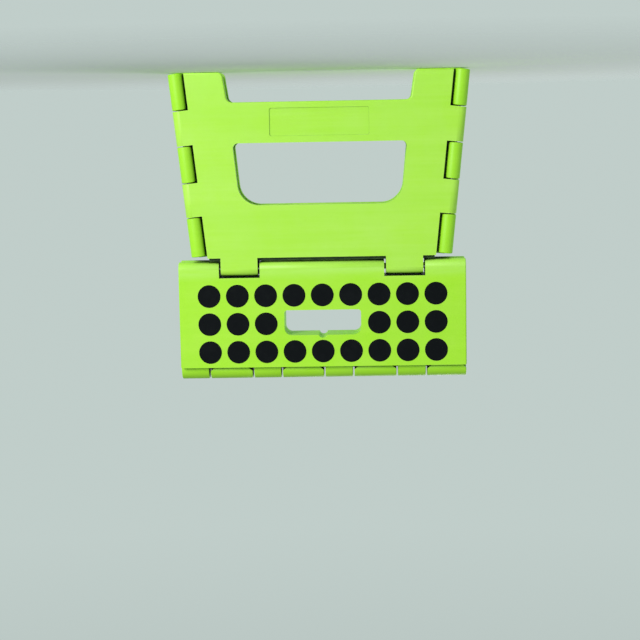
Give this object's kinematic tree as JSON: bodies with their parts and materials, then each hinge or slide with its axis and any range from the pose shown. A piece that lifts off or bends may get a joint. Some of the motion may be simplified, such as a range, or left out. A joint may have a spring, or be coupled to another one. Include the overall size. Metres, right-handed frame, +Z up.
{
  "type": "step stool",
  "caption": "Folding plastic step stool, folded flat: hinged leg panels with a hand opening, folding sides and a two-part dotted grip top with a carry slot.",
  "frame": {"origin": "on the floor under the feet, at the middle of the folded package", "axes": "+Z up, X across the width of the step, Y through the folded thickness with the front leg panel at -Y; the rear leg panel moves along +Y as the stool opens"},
  "size_m": [0.298, 0.0368, 0.307],
  "materials": {
    "lime_plastic": "fine moulded texture, satin",
    "grip_rubber": "matt black rubber",
    "foot_rubber": "matt black rubber",
    "steel_pin": "drawn steel rod"
  },
  "bodies": {
    "front_leg": {"front_leg_panel": "lime_plastic", "right_front_corner_pin": "steel_pin", "left_front_corner_pin": "steel_pin", "right_front_top_pin": "steel_pin", "left_front_top_pin": "steel_pin", "right_front_foot_pad": "foot_rubber", "left_front_foot_pad": "foot_rubber"},
    "rear_leg": {"rear_leg_panel": "lime_plastic", "right_rear_corner_pin": "steel_pin", "left_rear_corner_pin": "steel_pin", "right_rear_top_pin": "steel_pin", "left_rear_top_pin": "steel_pin", "right_rear_foot_pad": "foot_rubber", "left_rear_foot_pad": "foot_rubber"},
    "front_top": {"front_top_half": "lime_plastic", "front_grip_dots": "grip_rubber", "seam_pin": "steel_pin"},
    "rear_top": {"rear_top_half": "lime_plastic", "rear_grip_dots": "grip_rubber"},
    "right_front_side": {"right_front_side_panel": "lime_plastic", "right_lower_side_pin": "steel_pin", "right_upper_side_pin": "steel_pin"},
    "left_front_side": {"left_front_side_panel": "lime_plastic", "left_lower_side_pin": "steel_pin", "left_upper_side_pin": "steel_pin"},
    "right_rear_side": {"right_rear_side_panel": "lime_plastic"},
    "left_rear_side": {"left_rear_side_panel": "lime_plastic"}
  },
  "joints": [
    {"name": "front_top_fold", "type": "hinge", "parent": "front_leg", "child": "front_top", "pos_m": [0, -0.0105, 0.195], "axis": [-1, 0, 0], "range_deg": [0, 90]},
    {"name": "seam_fold", "type": "hinge", "parent": "front_top", "child": "rear_top", "pos_m": [0, 0, 0.295], "axis": [-1, 0, 0], "range_deg": [-180, 0]},
    {"name": "rear_top_fold", "type": "hinge", "parent": "rear_top", "child": "rear_leg", "pos_m": [0, 0.0105, 0.195], "axis": [-1, 0, 0], "range_deg": [0, 90]},
    {"name": "right_front_corner_fold", "type": "hinge", "parent": "front_leg", "child": "right_front_side", "pos_m": [0.1418, -0.0105, 0], "axis": [0.1037, 0, -0.9946], "range_deg": [0, 90]},
    {"name": "left_front_corner_fold", "type": "hinge", "parent": "front_leg", "child": "left_front_side", "pos_m": [-0.1418, -0.0105, 0], "axis": [0.1037, 0, 0.9946], "range_deg": [0, 90]},
    {"name": "right_rear_corner_fold", "type": "hinge", "parent": "rear_leg", "child": "right_rear_side", "pos_m": [0.1418, 0.0105, 0], "axis": [-0.1037, 0, 0.9946], "range_deg": [0, 90]},
    {"name": "left_rear_corner_fold", "type": "hinge", "parent": "rear_leg", "child": "left_rear_side", "pos_m": [-0.1418, 0.0105, 0], "axis": [-0.1037, 0, -0.9946], "range_deg": [0, 90]}
  ],
  "couplings": [
    {"joint": "seam_fold", "follows": "front_top_fold", "ratio": -2},
    {"joint": "rear_top_fold", "follows": "front_top_fold", "ratio": 1},
    {"joint": "right_front_corner_fold", "follows": "front_top_fold", "ratio": 1},
    {"joint": "left_front_corner_fold", "follows": "front_top_fold", "ratio": 1},
    {"joint": "right_rear_corner_fold", "follows": "front_top_fold", "ratio": 1},
    {"joint": "left_rear_corner_fold", "follows": "front_top_fold", "ratio": 1}
  ]
}
